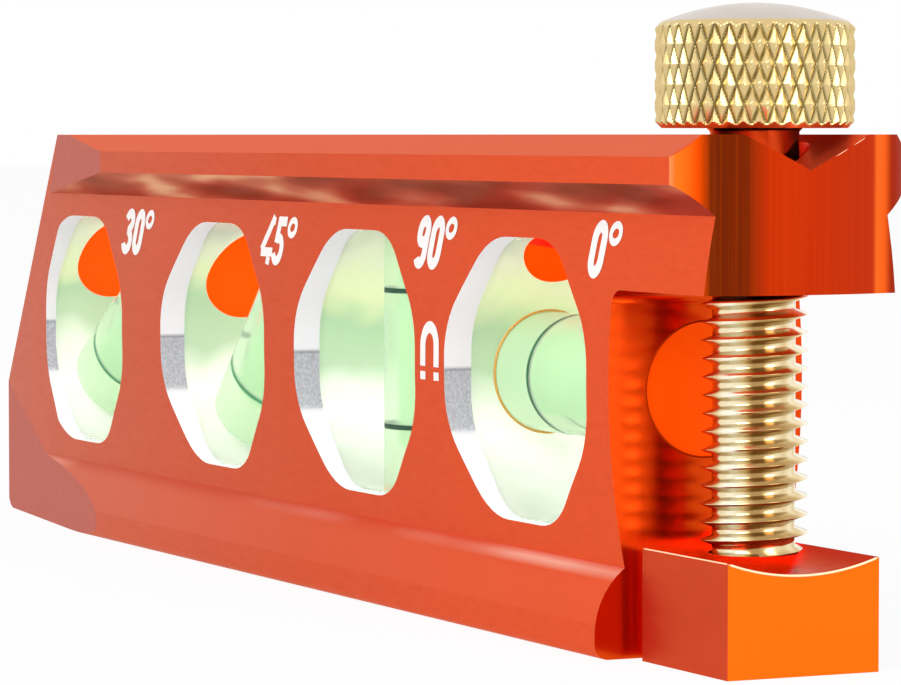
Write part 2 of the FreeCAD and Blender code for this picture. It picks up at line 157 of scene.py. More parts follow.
def window_wall_group():
    """The wall of a window, with painted light: bright and dark painted reflection bands on the bare metal
    near both faces of the body, and between them a pale green painted glow for light from the vial. Both
    follow the height, the glow blurred by a noise, and a patch of fine dark speckle lies half way up the bare
    part."""
    group = bpy.data.node_groups.new("window_wall_painted_light", "ShaderNodeTree")
    group_socket(group, "Colour", "OUTPUT", "NodeSocketColor")
    group_socket(group, "Bare", "OUTPUT")
    group_socket(group, "Grain", "OUTPUT")
    outlet = group.nodes.new("NodeGroupOutput")
    link = group.links.new
    place = group.nodes.new("ShaderNodeTexCoord")
    axes = group.nodes.new("ShaderNodeSeparateXYZ")
    link(place.outputs["Object"], axes.inputs[0])
    depth = math_node(group, "ABSOLUTE", axes.outputs["Y"])
    bare = map_range(group, depth, BARE_DEPTH - 0.00005, BARE_DEPTH + 0.00005, 0, 1)
    cloud = noise_node(group, place, (90.0, 90.0, 90.0), 2.0)
    drift = map_range(group, cloud, 0.3, 0.7, -0.0022, 0.0022)
    height = math_node(group, "ADD", axes.outputs["Z"], drift)
    glow_place = map_range(group, height, *WALL_SPAN, 0, 1)
    # Painted light: a pale green glow, by height, standing in for light from the vial.
    glow = ramp_node(group, [
        (0.0, (0.56, 0.60, 0.52)), (0.12, (0.70, 0.74, 0.66)), (0.27, (0.90, 0.92, 0.86)),
        (0.38, (0.82, 0.87, 0.76)), (0.48, (0.50, 0.66, 0.45)), (0.64, (0.46, 0.64, 0.41)),
        (0.76, (0.80, 0.86, 0.52)), (0.86, (0.78, 0.79, 0.60)), (0.96, (0.56, 0.57, 0.48))])
    link(glow_place, glow.inputs[0])
    # Painted reflections: bright and dark bands, by height, on the bare metal.
    metal_place = map_range(group, axes.outputs["Z"], *WALL_SPAN, 0, 1)
    metal = ramp_node(group, [
        (0.0, (0.84, 0.84, 0.88)), (0.27, (0.92, 0.92, 0.96)), (0.31, (0.52, 0.52, 0.58)),
        (0.495, (0.50, 0.50, 0.57)), (0.50, (0.30, 0.30, 0.35)), (0.515, (0.78, 0.77, 0.82)),
        (0.80, (0.80, 0.79, 0.84)), (0.97, (0.70, 0.69, 0.75))])
    link(metal_place, metal.inputs[0])
    speckle = noise_node(group, place, (4200.0, 4200.0, 3000.0), 2.0)
    speckle_band = math_node(group, "LESS_THAN", math_node(group, "ABSOLUTE", math_node(
        group, "SUBTRACT", axes.outputs["Z"], PATCH_LEVEL)), PATCH_HALF)
    shade = math_node(group, "MULTIPLY", map_range(group, speckle, 0.35, 0.65, 0.0, 0.40), speckle_band)
    speckled = mix_node(group, shade, metal.outputs[0], (0.17, 0.17, 0.18))
    both = mix_node(group, bare, glow.outputs[0], speckled)
    link(both, outlet.inputs["Colour"])
    link(bare, outlet.inputs["Bare"])
    link(speckle, outlet.inputs["Grain"])
    return group


def painted_end_reflections_group():
    """Painted reflection bands across the machined end of the upper jaw, by the place across it, with fine
    upright machining lines.
    """
    group = bpy.data.node_groups.new("machined_end_painted_reflections", "ShaderNodeTree")
    group_socket(group, "Colour", "OUTPUT", "NodeSocketColor")
    group_socket(group, "Lines", "OUTPUT")
    outlet = group.nodes.new("NodeGroupOutput")
    link = group.links.new
    place = group.nodes.new("ShaderNodeTexCoord")
    axes = group.nodes.new("ShaderNodeSeparateXYZ")
    link(place.outputs["Object"], axes.inputs[0])
    across = map_range(group, axes.outputs["Y"], -0.012, 0.012, 0, 1)
    # Painted reflections: bright and dark bands across the jaw's end, by the place across it.
    reflection_bands = ramp_node(group, [
        (0.0, (1.0, 0.50, 0.28)), (0.03, (0.86, 0.16, 0.01)), (0.085, (0.72, 0.06, 0.0)),
        (0.13, (0.09, 0.008, 0.0)), (0.26, (0.12, 0.008, 0.0)), (0.34, (0.38, 0.016, 0.0)),
        (0.55, (0.42, 0.018, 0.0)), (0.78, (0.45, 0.020, 0.0)), (0.80, (0.86, 0.13, 0.01)),
        (0.84, (0.80, 0.10, 0.005)), (0.87, (0.30, 0.012, 0.0))])
    link(across, reflection_bands.inputs[0])
    lines = noise_node(group, place, (60.0, 4200.0, 30.0), 2.0)
    streak = map_range(group, lines, 0.35, 0.65, 0.0, 0.07)
    both = mix_node(group, streak, reflection_bands.outputs[0], (0.80, 0.10, 0.0))
    link(both, outlet.inputs["Colour"])
    link(lines, outlet.inputs["Lines"])
    return group


def painted_sheen_group():
    """Painted reflections along the slope under the top rail: soft gold painted highlights and darker
    patches.
    """
    group = bpy.data.node_groups.new("slope_painted_sheen", "ShaderNodeTree")
    group_socket(group, "Colour", "OUTPUT", "NodeSocketColor")
    outlet = group.nodes.new("NodeGroupOutput")
    link = group.links.new
    place = group.nodes.new("ShaderNodeTexCoord")
    cloud = noise_node(group, place, (52.0, 120.0, 420.0), 1.5)
    # Painted reflections: dark red-brown patches and gold highlights, by a noise drawn out along the slope.
    patches = ramp_node(group, [
        (0.34, (0.22, 0.040, 0.032)), (0.47, (0.40, 0.088, 0.064)), (0.56, (0.58, 0.23, 0.15)),
        (0.68, (0.86, 0.68, 0.42))])
    link(cloud, patches.inputs[0])
    link(patches.outputs[0], outlet.inputs["Colour"])
    return group


def colour_with_painted_haze(group, axes):
    """The anodised colour with a painted haze of light along the length: duller and pinker at the nose, and a
    purer orange-red at the clamp.
    """
    haze = ramp_node(group, [
        (0.0, (0.60, 0.200, 0.165)), (0.25, (0.66, 0.160, 0.105)), (0.55, (0.71, 0.112, 0.056)),
        (0.80, (0.80, 0.108, 0.042)), (1.0, (0.84, 0.104, 0.034))])
    group.links.new(map_range(group, axes.outputs["X"], -0.094, 0.094, 0, 1), haze.inputs[0])
    return haze.outputs[0]


def painted_haze_group():
    """The body's main colour along its length, with its painted haze and a fine uneven grain."""
    group = bpy.data.node_groups.new("body_colour_painted_haze", "ShaderNodeTree")
    group_socket(group, "Colour", "OUTPUT", "NodeSocketColor")
    outlet = group.nodes.new("NodeGroupOutput")
    place = group.nodes.new("ShaderNodeTexCoord")
    axes = group.nodes.new("ShaderNodeSeparateXYZ")
    group.links.new(place.outputs["Object"], axes.inputs[0])
    share = map_range(group, noise_node(group, place, (700.0, 2400.0, 2400.0), 3.0), 0.35, 0.65, 0.0, 0.12)
    mixed = mix_node(group, share, colour_with_painted_haze(group, axes), (0.50, 0.05, 0.02))
    group.links.new(mixed, outlet.inputs["Colour"])
    return group


def painted_glint_group():
    """The foot's slope: body colour with its painted haze, and a soft pale painted highlight streak that
    comes and goes along the upper crease.
    """
    group = bpy.data.node_groups.new("foot_painted_highlight", "ShaderNodeTree")
    group_socket(group, "Colour", "OUTPUT", "NodeSocketColor")
    outlet = group.nodes.new("NodeGroupOutput")
    place = group.nodes.new("ShaderNodeTexCoord")
    axes = group.nodes.new("ShaderNodeSeparateXYZ")
    group.links.new(place.outputs["Object"], axes.inputs[0])
    below = math_node(group, "ABSOLUTE", math_node(group, "SUBTRACT", axes.outputs["Z"], 0.0076))
    # Painted highlight: a pale streak along the crease, broken up by a noise.
    streak = map_range(group, below, 0.0, 0.0007, 0.8, 0)
    cloud = map_range(group, noise_node(group, place, (28.0, 0.0, 60.0), 1.0), 0.46, 0.70, 0, 1)
    share = math_node(group, "MULTIPLY", streak, cloud)
    mixed = mix_node(group, share, colour_with_painted_haze(group, axes), (1.0, 0.62, 0.50))
    group.links.new(mixed, outlet.inputs["Colour"])
    return group


def brass_painted_reflections_group():
    """Brass with painted reflections: soft upright bands, dark and bright, round a turned surface."""
    group = bpy.data.node_groups.new("brass_painted_reflections", "ShaderNodeTree")
    group_socket(group, "Colour", "OUTPUT", "NodeSocketColor")
    outlet = group.nodes.new("NodeGroupOutput")
    place = group.nodes.new("ShaderNodeTexCoord")
    cloud = noise_node(group, place, (330.0, 330.0, 8.0), 1.0)
    # Painted reflections: dark bronze to bright brass bands.
    reflection_bands = ramp_node(group, [
        (0.34, (0.46, 0.28, 0.10)), (0.46, (0.74, 0.53, 0.25)), (0.54, (0.92, 0.76, 0.46)),
        (0.64, (1.0, 0.95, 0.76))])
    group.links.new(cloud, reflection_bands.inputs[0])
    group.links.new(reflection_bands.outputs[0], outlet.inputs["Colour"])
    return group


BARE_DEPTH = 0.00700
WALL_SPAN = (0.010, 0.038)
KNURL_FLOOR = 0.00831
KNURL_MIDDLE = 0.0517
KNURL_REACH = 0.00425
PATCH_LEVEL = 0.02120
PATCH_HALF = 0.00295
GRAIN = grain_group()
WINDOW_WALL_PAINTED_LIGHT = window_wall_group()
END_PAINTED_REFLECTIONS = painted_end_reflections_group()
SLOPE_PAINTED_SHEEN = painted_sheen_group()
FOOT_PAINTED_HIGHLIGHT = painted_glint_group()
BODY_PAINTED_HAZE = painted_haze_group()
BRASS_PAINTED_REFLECTIONS = brass_painted_reflections_group()


def plain_material(name, colour, metal=0.0, rough=0.4, clear=0.0, index=1.45, glow=0.0, edge=None):
    material = bpy.data.materials.new(name)
    material.use_nodes = True
    shader = material.node_tree.nodes["Principled BSDF"]
    shader.inputs["Base Color"].default_value = (*colour, 1)
    shader.inputs["Metallic"].default_value = metal
    shader.inputs["Roughness"].default_value = rough
    shader.inputs["Transmission Weight"].default_value = clear
    shader.inputs["IOR"].default_value = index
    shader.inputs["Emission Color"].default_value = (*colour, 1)
    shader.inputs["Emission Strength"].default_value = glow
    if edge:
        shader.inputs["Specular Tint"].default_value = (*edge, 1)
    return material, shader


def grained(name, colour, metal, rough, stretch, bump=0.0, shade=None, glow=0.0, edge=None, group=None):
    """A finish whose roughness and height follow one fine grain. Its colour is plain, mixed with a shade by
    the same grain, or comes from a group."""
    material, shader = plain_material(name, colour, metal, rough[0], glow=glow, edge=edge)
    nodes, link = material.node_tree.nodes, material.node_tree.links.new
    grain = nodes.new("ShaderNodeGroup")
    grain.node_tree = GRAIN
    grain.inputs["Stretch"].default_value = stretch
    grain.inputs["Low"].default_value = rough[0]
    grain.inputs["High"].default_value = rough[1]
    link(grain.outputs["Spread"], shader.inputs["Roughness"])
    if bump:
        raised = nodes.new("ShaderNodeBump")
        raised.inputs["Strength"].default_value = bump
        raised.inputs["Distance"].default_value = 0.0001
        link(grain.outputs["Noise"], raised.inputs["Height"])
        link(raised.outputs["Normal"], shader.inputs["Normal"])
    if group:
        colours = nodes.new("ShaderNodeGroup")
        colours.node_tree = group
        link(colours.outputs["Colour"], shader.inputs["Base Color"])
    if shade:
        mixed = mix_node(material.node_tree, grain.outputs["Noise"], colour, shade)
        link(mixed, shader.inputs["Base Color"])
    return material


def grouped(name, group, metal, rough, glow=0.0, edge=None):
    """A finish whose colour comes from a group."""
    material, shader = plain_material(name, (0.8, 0.8, 0.8), metal, rough, glow=glow, edge=edge)
    colour = material.node_tree.nodes.new("ShaderNodeGroup")
    colour.node_tree = group
    link = material.node_tree.links.new
    link(colour.outputs["Colour"], shader.inputs["Base Color"])
    if glow:
        link(colour.outputs["Colour"], shader.inputs["Emission Color"])
    return material


def brass_knurl():
    """Brass whose grooves, nearer to the knob's axis, are painted dark: painted shade in the knurl's
    recesses.
    """
    brass_colour, groove_shade_colour = (0.74, 0.56, 0.26), (0.10, 0.075, 0.012)
    material, shader = plain_material("knurled_brass", brass_colour, 1.0, 0.26)
    tree = material.node_tree
    place = tree.nodes.new("ShaderNodeTexCoord")
    axes = tree.nodes.new("ShaderNodeSeparateXYZ")
    tree.links.new(place.outputs["Object"], axes.inputs[0])
    along = math_node(tree, "POWER", math_node(tree, "SUBTRACT", axes.outputs["X"], SCREW_AXIS * MM), 2)
    across = math_node(tree, "POWER", axes.outputs["Y"], 2)
    reach = math_node(tree, "SQRT", math_node(tree, "ADD", along, across))
    # Painted shade: inside the floor radius, within the knurl's height, the grooves go dark.
    out_of_groove = map_range(tree, reach, KNURL_FLOOR, KNURL_FLOOR + 0.00018, 0, 1)
    level = math_node(tree, "ABSOLUTE", math_node(tree, "SUBTRACT", axes.outputs["Z"], KNURL_MIDDLE))
    unshaded_share = math_node(tree, "MAXIMUM", out_of_groove, math_node(tree, "GREATER_THAN", level, KNURL_REACH))
    colour = mix_node(tree, unshaded_share, groove_shade_colour, brass_colour)
    tree.links.new(colour, shader.inputs["Base Color"])
    return material


EDGE_TINT = (1.0, 0.52, 0.38)
# The body's anodised finish: its colour group adds a painted haze along the length.
ANODISED = grained("anodised_satin", (0.71, 0.112, 0.056), 0.85, (0.38, 0.46), (260.0, 900.0, 900.0),
                   bump=0.05, edge=EDGE_TINT, group=BODY_PAINTED_HAZE)
# Painted light: the shoulder's colour holds the painted haze and a painted highlight streak.
SHOULDER = grouped("anodised_shoulder", FOOT_PAINTED_HIGHLIGHT, 0.85, 0.36, edge=(1.0, 0.56, 0.44))
CUT_FACE = grained("anodised_cut", (0.74, 0.062, 0.003), 0.95, (0.14, 0.24), (900.0, 500.0, 60.0), bump=0.05)
BOW_FACE = grained("anodised_bow", (0.46, 0.090, 0.060), 0.3, (0.42, 0.52), (1500.0, 1500.0, 1500.0),
                   shade=(0.52, 0.110, 0.078), edge=(1.0, 0.45, 0.32))
# Painted light: the window wall glows with its painted reflection bands and its painted vial glow.
WALL = grouped("window_wall_painted_light", WINDOW_WALL_PAINTED_LIGHT, 0.0, 0.45, glow=0.33)
# Painted light: the bore and well faces glow bright orange.
BORE_FACE = plain_material("anodised_bore_painted_glow", (0.95, 0.100, 0.0), 0.0, 0.6, index=1.0, glow=0.62)[0]
# Painted light: the end cap glows orange.
CAP_FACE = grained("anodised_cap", (0.90, 0.078, 0.0), 0.2, (0.34, 0.44), (900.0, 900.0, 900.0), glow=0.40,
                   edge=(1.0, 0.3, 0.1))
# Painted reflections: the rail slope's colour comes from painted highlights and darker patches.
SLOPE_FACE = grouped("anodised_slope_painted_sheen", SLOPE_PAINTED_SHEEN, 0.8, 0.30, edge=EDGE_TINT)
# Painted light: the upper jaw's end takes painted reflection bands and a glow.
UPPER_END = grouped("machined_upper_end", END_PAINTED_REFLECTIONS, 0.3, 0.45, glow=0.12, edge=(1.0, 0.20, 0.05))
# Painted light: the lower jaw's end glows bright orange.
LOWER_END = plain_material("machined_lower_end_painted_glow", (0.96, 0.125, 0.004), 0.0, 0.5, index=1.05, glow=0.30)[0]
# Painted light: a lighter copy of the body's anodised finish on the upward-facing bevel of the top rail.
BEVEL_FACE = grained("anodised_bevel_painted_lit", (0.72, 0.145, 0.083), 0.85, (0.36, 0.44), (260.0, 900.0, 900.0),
                     bump=0.05, shade=(0.76, 0.170, 0.100), edge=EDGE_TINT)
# Painted shade: a darker copy of the cut finish on the saddle under the upper jaw.
SADDLE_FACE = grained("anodised_saddle_painted_shade", (0.40, 0.034, 0.012), 0.95, (0.16, 0.26), (900.0, 500.0, 60.0),
                      bump=0.05, edge=(1.0, 0.35, 0.25))
# Painted shade: a darker copy of the anodised finish on the lower jaw's flanks.
JAW_FACE = grained("anodised_jaw_painted_shade", (0.60, 0.070, 0.030), 0.85, (0.34, 0.42), (260.0, 900.0, 900.0),
                   bump=0.05, shade=(0.66, 0.085, 0.036), edge=(1.0, 0.40, 0.25))
SEAM = plain_material("dark_seam", (0.42, 0.030, 0.0), 0.0, 0.6, index=1.05)[0]
# Painted reflections: the brass colour comes from dark and bright upright bands.
BRASS = grouped("brass_with_painted_reflections", BRASS_PAINTED_REFLECTIONS, 1.0, 0.18)
KNURL = brass_knurl()
CROWN = grained("pale_brass", (0.62, 0.54, 0.47), 1.0, (0.20, 0.30), (600.0, 600.0, 600.0), bump=0.04)
NICKEL = grained("nickel_plate", (0.55, 0.55, 0.56), 1.0, (0.25, 0.35), (300.0, 300.0, 300.0))
INK = plain_material("white_ink", (0.90, 0.88, 0.86), 0.0, 0.5)[0]
# One ring ink in three painted tones for how light falls in each window: darkest in the 90 window, middle in
# the 0 window, palest in the 30 and 45 windows.
RING_INK_DARK_TONE = plain_material("ring_ink_painted_dark", (0.012, 0.070, 0.030), 0.0, 0.6)[0]
RING_INK_MIDDLE_TONE = plain_material("ring_ink_painted_middle", (0.025, 0.16, 0.06), 0.0, 0.6)[0]
RING_INK_PALE_TONE = plain_material("ring_ink_painted_pale", (0.09, 0.34, 0.15), 0.0, 0.6)[0]
# Painted light: the amber rim at the vial's end glows.
AMBER = plain_material("amber_rim", (0.55, 0.30, 0.06), 0.0, 0.4, glow=0.3)[0]
# Painted highlight: pale glowing lines laid along machined edges.
PAINTED_EDGE_HIGHLIGHT = plain_material("painted_edge_highlight", (1.0, 0.62, 0.38), 0.3, 0.3, glow=0.4)[0]
# Painted light: the vial plugs glow pale green.
PLUG = plain_material("pale_plug", (0.80, 0.88, 0.70), 0.0, 0.3, glow=0.34)[0]
ACRYLIC = plain_material("clear_acrylic", (1.0, 1.0, 1.0), 0.0, 0.02, clear=1.0, index=1.02)[0]
# Painted light: a faint glow in the vial tube.
TUBE = plain_material("vial_tube", (0.74, 0.90, 0.68), 0.0, 0.05, clear=0.65, index=1.06, glow=0.07)[0]
# The fluid's green is its own colour, and its glow is painted light.
FLUID = plain_material("vial_fluid", (0.46, 0.72, 0.41), 0.0, 0.05, clear=0.5, index=1.10, glow=0.32)[0]
# Painted highlight: the air bubbles are opaque, pale and glowing.
BUBBLE = plain_material("air_bubble_painted_highlight", (0.92, 1.0, 0.92), 0.0, 0.2, glow=0.35)[0]


# Meshes

def grid_faces(rows, columns, wrap=False):
    """The quads of a grid of points, row by row, closed round its columns if it wraps."""
    row, column = np.meshgrid(np.arange(rows - 1), np.arange(columns if wrap else columns - 1), indexing="ij")
    following = (column + 1) % columns
    faces = np.stack([row * columns + column, row * columns + following,
                      (row + 1) * columns + following, (row + 1) * columns + column], axis=-1)
    return faces.reshape(-1, 4)


def mesh_piece(name, points, faces, material, smooth=True):
    """One piece from an array of points in millimetres and an array of quads, with doubles merged."""
    mesh = bpy.data.meshes.new(name)
    mesh.from_pydata((points.reshape(-1, 3) * MM).tolist(), [], faces.tolist())
    working = bmesh.new()
    working.from_mesh(mesh)
    bmesh.ops.remove_doubles(working, verts=working.verts, dist=1e-6)
    bmesh.ops.dissolve_degenerate(working, edges=working.edges, dist=1e-7)
    working.to_mesh(mesh)
    working.free()
    mesh.materials.append(material)
    mesh.polygons.foreach_set("use_smooth", [smooth] * len(mesh.polygons))
    piece = bpy.data.objects.new(name, mesh)
    bpy.context.scene.collection.objects.link(piece)
    return piece


def lathe(name, radii, heights, axis_x, material, around=128):
    """A surface turned about an upright axis: x = axis + r(s) cos t, y = r(s) sin t, z = z(s)."""
    angle = np.linspace(0, TURN, around, endpoint=False)
    radii = np.asarray(radii, float)[:, None] if np.ndim(radii) == 1 else radii
    heights = np.asarray(heights, float)[:, None] * np.ones_like(angle)
    points = np.stack([axis_x + radii * np.cos(angle), radii * np.sin(angle), heights], axis=-1)
    return mesh_piece(name, points, grid_faces(points.shape[0], around, wrap=True), material)


# The body, with a finish for each kind of face

BODY_FINISHES = (ANODISED, CUT_FACE, BOW_FACE, WALL, BORE_FACE, SHOULDER, SLOPE_FACE, UPPER_END, LOWER_END,
                 BEVEL_FACE, SADDLE_FACE, JAW_FACE)
BODY_HALF = 11.5
NOSE_HALF = 5.76
BOW_START, BOW_LENGTH = 0.8, 48.45
SIDE_LOW, SIDE_HIGH = 8.15, 39.5
GROOVE_HALF, GROOVE_FLOOR, TOP_LEVEL = 6.15, 43.45, 46.5
JAW_TOP = 10.1
JAW_FLANK = 7.3
SCREW_BORE = 4.9
SEAT_REACH = 6.3


def outside_window(x, z):
    """How far a place lies outside the octagon of the nearest window, in millimetres. Inside is negative."""
    nearest = np.full(x.shape, 1e9)
    half_x, half_z = WINDOW_HALF
    for centre in WINDOW_PLACES.values():
        across, up = np.abs(x - centre), np.abs(z - WINDOW_LEVEL)
        slant = np.array([half_z - WINDOW_SIDE, half_x - WINDOW_FLAT])
        slant = slant / np.hypot(*slant)
        corner = slant[0] * (across - WINDOW_FLAT) + slant[1] * (up - half_z)
        nearest = np.minimum(nearest, np.maximum.reduce([across - half_x, up - half_z, corner]))
    return nearest


def body_finishes(centres, normals):
    """Which of the body's finishes each face has, by its place and the way it faces. A later line wins."""
    x, y, z = centres.T
    across, face_x, face_y, face_z = np.abs(y), *normals.T
    half_bow = NOSE_HALF + (x + BODY_END - BOW_START) * (BODY_HALF - NOSE_HALF) / (BOW_LENGTH - BOW_START)
    in_gap = (x > GAP_WALL - 0.05) & (z < GAP_CEILING + 0.05)
    past_wall = x > GAP_WALL + 2
    flank = (np.abs(face_y) > 0.9) & (across > JAW_FLANK)
    outside = outside_window(x, z)
    finish = np.zeros(len(x), int)

    def give(material, faces):
        finish[faces] = BODY_FINISHES.index(material)

    # Several finishes given here carry painted light: highlights and reflections on the shoulder, slope,
    # upper end and window wall, glows on the bore and lower end, a lighter bevel, and painted shade on the
    # saddle and jaw.
    give(SHOULDER, (z > 2.0) & (z < SIDE_LOW) & (np.abs(face_z) > 0.12) & (across > 8.1) & (x < GAP_WALL))
    give(SLOPE_FACE, (z > 39.6) & (z < 42.3) & (face_z < -0.2) & (across > 8.4))
    give(BOW_FACE, (x < -45) & (np.abs(across - half_bow) < 0.08) & ((z < SIDE_LOW) | (z > SIDE_HIGH)))
    give(BOW_FACE, (face_x < -0.3) & (x < -64) & (outside > 2))
    give(CUT_FACE, in_gap & ~flank)
    give(UPPER_END, (x > 89) & (face_x > 0.15) & (z > GAP_CEILING))
    give(LOWER_END, (x > 93) & (face_x > 0.9) & (z < JAW_TOP))
    give(BEVEL_FACE, (z > 44.4) & (across > 9) & (face_z > 0.2) & (face_z < 0.95) & (x < 89))
    give(SADDLE_FACE, past_wall & (z > 8) & (z < 12) & (face_z > 0.5))
    give(JAW_FACE, past_wall & (z < JAW_TOP) & flank)
    give(CUT_FACE, (np.hypot(x - SCREW_AXIS, y) < SCREW_BORE) & (z > 30))
    give(WALL, (np.abs(face_y) < 0.6) & (outside < 0.06) & (across < 10.4))
    give(BORE_FACE, (outside >= 0.06) & (outside < 6.0) & (across < SEAT_REACH) & (z > 6) & (z < 42.6)
         & ~in_gap & (np.abs(z - GROOVE_FLOOR) > 1))
    give(BORE_FACE, (x > 71.4) & (x < GAP_WALL - 0.05) & (np.hypot(y, z - WINDOW_LEVEL) < SEAT_REACH))
    return finish


def dress_body():
    """A copy of the body's surface, joined up again, with its finishes."""
    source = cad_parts["level_body"]
    mesh = source.data.copy()
    mesh.name = "body_skin"
    working = bmesh.new()
    working.from_mesh(mesh)
    bmesh.ops.remove_doubles(working, verts=working.verts, dist=2e-6)
    working.to_mesh(mesh)
    working.free()
    mesh.materials.clear()
    for material in BODY_FINISHES:
        mesh.materials.append(material)
    count = len(mesh.polygons)
    centres, normals = np.empty(count * 3), np.empty(count * 3)
    mesh.polygons.foreach_get("center", centres)
    mesh.polygons.foreach_get("normal", normals)
    finish = body_finishes(centres.reshape(-1, 3) / MM, normals.reshape(-1, 3))
    mesh.polygons.foreach_set("material_index", finish)
    piece = bpy.data.objects.new("body_skin", mesh)
    bpy.context.scene.collection.objects.link(piece)
    return piece


def smooth_by_angle(piece, degrees):
    """Smooth shading, with the edges that turn by more than an angle kept sharp."""
    mesh = piece.data
    mesh.polygons.foreach_set("use_smooth", [True] * len(mesh.polygons))
    working = bmesh.new()
    working.from_mesh(mesh)
    limit = float(np.radians(degrees))
    for edge in working.edges:
        faces = edge.link_faces
        edge.smooth = len(faces) == 2 and faces[0].normal.angle(faces[1].normal, 0) < limit \
            and faces[0].material_index == faces[1].material_index
    working.to_mesh(mesh)
    working.free()


skin = dress_body()
smooth_by_angle(skin, 24)
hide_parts("level_body")
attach(skin, "level")

# The thumbscrew

THREAD_PITCH = 1.5875
THREAD_RADIUS = 4.76
THREAD_DEPTH = 1.10
THREAD_PLAY = 0.02
THREAD_TIP = 9.914
TURN_STEPS = 64
THREAD_END = 42.4
TIP_BEVEL = 0.8
NECK_RADIUS = 3.9
KNOB_RADIUS = 8.72
KNOB_LOW = 47.05
KNOB_HIGH = 56.35
KNOB_TOP = 57.95
KNURL_COUNT = 40
KNURL_RISE = 3.5
KNURL_DEPTH = 0.40
RIM_BEVEL = 0.6


def thread_surface():
    """A 60 degree thread: a profile of crest, flank and root is carried up a helix. Height is pitch times
    (turns + share of the profile), held between the tip and the neck, and the radius is held in by the
    tip's bevel."""
    profile = np.array([[0.0, 0], [0.05, 0], [0.30, 1], [0.75, 1], [1.0, 0]])
    turns = int(np.ceil((THREAD_END - THREAD_TIP) / THREAD_PITCH)) + 2
    angle = np.arange(turns * TURN_STEPS + 1) * TURN / TURN_STEPS
    height = THREAD_TIP - THREAD_PITCH + THREAD_PITCH * (angle[:, None] / TURN + profile[:, 0])
    height = np.clip(height, THREAD_TIP, THREAD_END)
    radius = THREAD_RADIUS - THREAD_PLAY - THREAD_DEPTH * profile[:, 1] + 0 * height
    radius = np.minimum(radius, THREAD_RADIUS - TIP_BEVEL + (height - THREAD_TIP))
    across, sideways = radius * np.cos(angle)[:, None], radius * np.sin(angle)[:, None]
    points = np.stack([SCREW_AXIS + across, sideways, height], axis=-1)
    return mesh_piece("screw_thread", points, grid_faces(*points.shape[:2])[:, ::-1], BRASS)


def knurl_surface():
    """Raised diamonds: radius is the knob's less a depth times (1 - the smaller of two waves), and each wave
    rises and falls once between two grooves of its own helix. The grooves run out at both rims."""
    angle = np.linspace(0, TURN, KNURL_COUNT * 14, endpoint=False)
    height = np.linspace(KNOB_LOW, KNOB_HIGH, 70)[:, None]
    waves = []
    for slope in (1, -1):
        phase = KNURL_COUNT * angle / TURN + slope * height / KNURL_RISE
        waves.append(1 - np.abs(2 * (phase % 1) - 1))
    diamond = np.minimum(1, 1.25 * np.minimum(*waves))
    rim = np.minimum(height - KNOB_LOW, KNOB_HIGH - height)
    radius = KNOB_RADIUS - KNURL_DEPTH * (1 - diamond)
    radius = np.minimum(radius, KNOB_RADIUS - RIM_BEVEL + rim)
    across, sideways = radius * np.cos(angle), radius * np.sin(angle)
    points = np.stack([SCREW_AXIS + across, sideways, height + 0 * radius], axis=-1)
    return mesh_piece("knob_knurl", points, grid_faces(*points.shape[:2], wrap=True), KNURL, smooth=False)


def knob_ends():
    """The knob's dome, underside and neck: z falls from the crown as the square of the radius."""
    rim = KNOB_RADIUS - RIM_BEVEL
    dome = np.linspace(0, 1, 24)
    top_radius = rim * dome
    top_height = KNOB_TOP - (KNOB_TOP - KNOB_HIGH) * dome ** 2
    crown = lathe("knob_crown", top_radius[::-1], top_height[::-1], SCREW_AXIS, CROWN)
    underside_radius = [rim, NECK_RADIUS + 0.3, NECK_RADIUS, NECK_RADIUS]
    underside_height = [KNOB_LOW, KNOB_LOW, KNOB_LOW - 0.3, THREAD_END - 0.6]
    neck = lathe("knob_neck", underside_radius[::-1], underside_height[::-1], SCREW_AXIS, BRASS)
    tip = lathe("screw_tip", [0, THREAD_RADIUS - TIP_BEVEL], [THREAD_TIP, THREAD_TIP], SCREW_AXIS, BRASS)
    shoulder_radius = [THREAD_RADIUS - THREAD_PLAY, NECK_RADIUS]
    shoulder = lathe("screw_shoulder", shoulder_radius, [THREAD_END, THREAD_END], SCREW_AXIS, BRASS)
    return [crown, neck, tip, shoulder]


screw_pieces = [thread_surface(), knurl_surface(), *knob_ends()]
for piece in screw_pieces:
    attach(piece, "screw")
    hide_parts("thumbscrew")

# Printing

DIGIT_HIGH = 5.0
DIGIT_SHARE = 0.55
DIGIT_STEP = 1.12
MAGNET_STROKE = 1.15
INK_HEIGHT = 0.02
PRINT_PLACES = {"30d": (-44.5, 33.0), "45d": (-4.1, 32.9), "90d": (33.9, 33.6), "0d": (70.6, 33.8)}
MAGNET_PLACE = (36.8, 20.6)
STROKE = 1.12
SLOPE = 0.14


def arc(centre, radius, start, finish, count=24):
    """Points on an ellipse from one angle to another, in degrees."""
    turn = np.radians(np.linspace(start, finish, count))
    return np.stack([centre[0] + radius[0] * np.cos(turn), centre[1] + radius[1] * np.sin(turn)], axis=-1)


def line(*corners):
    """The corners of a stroke with straight runs."""
    return np.array(corners, float)


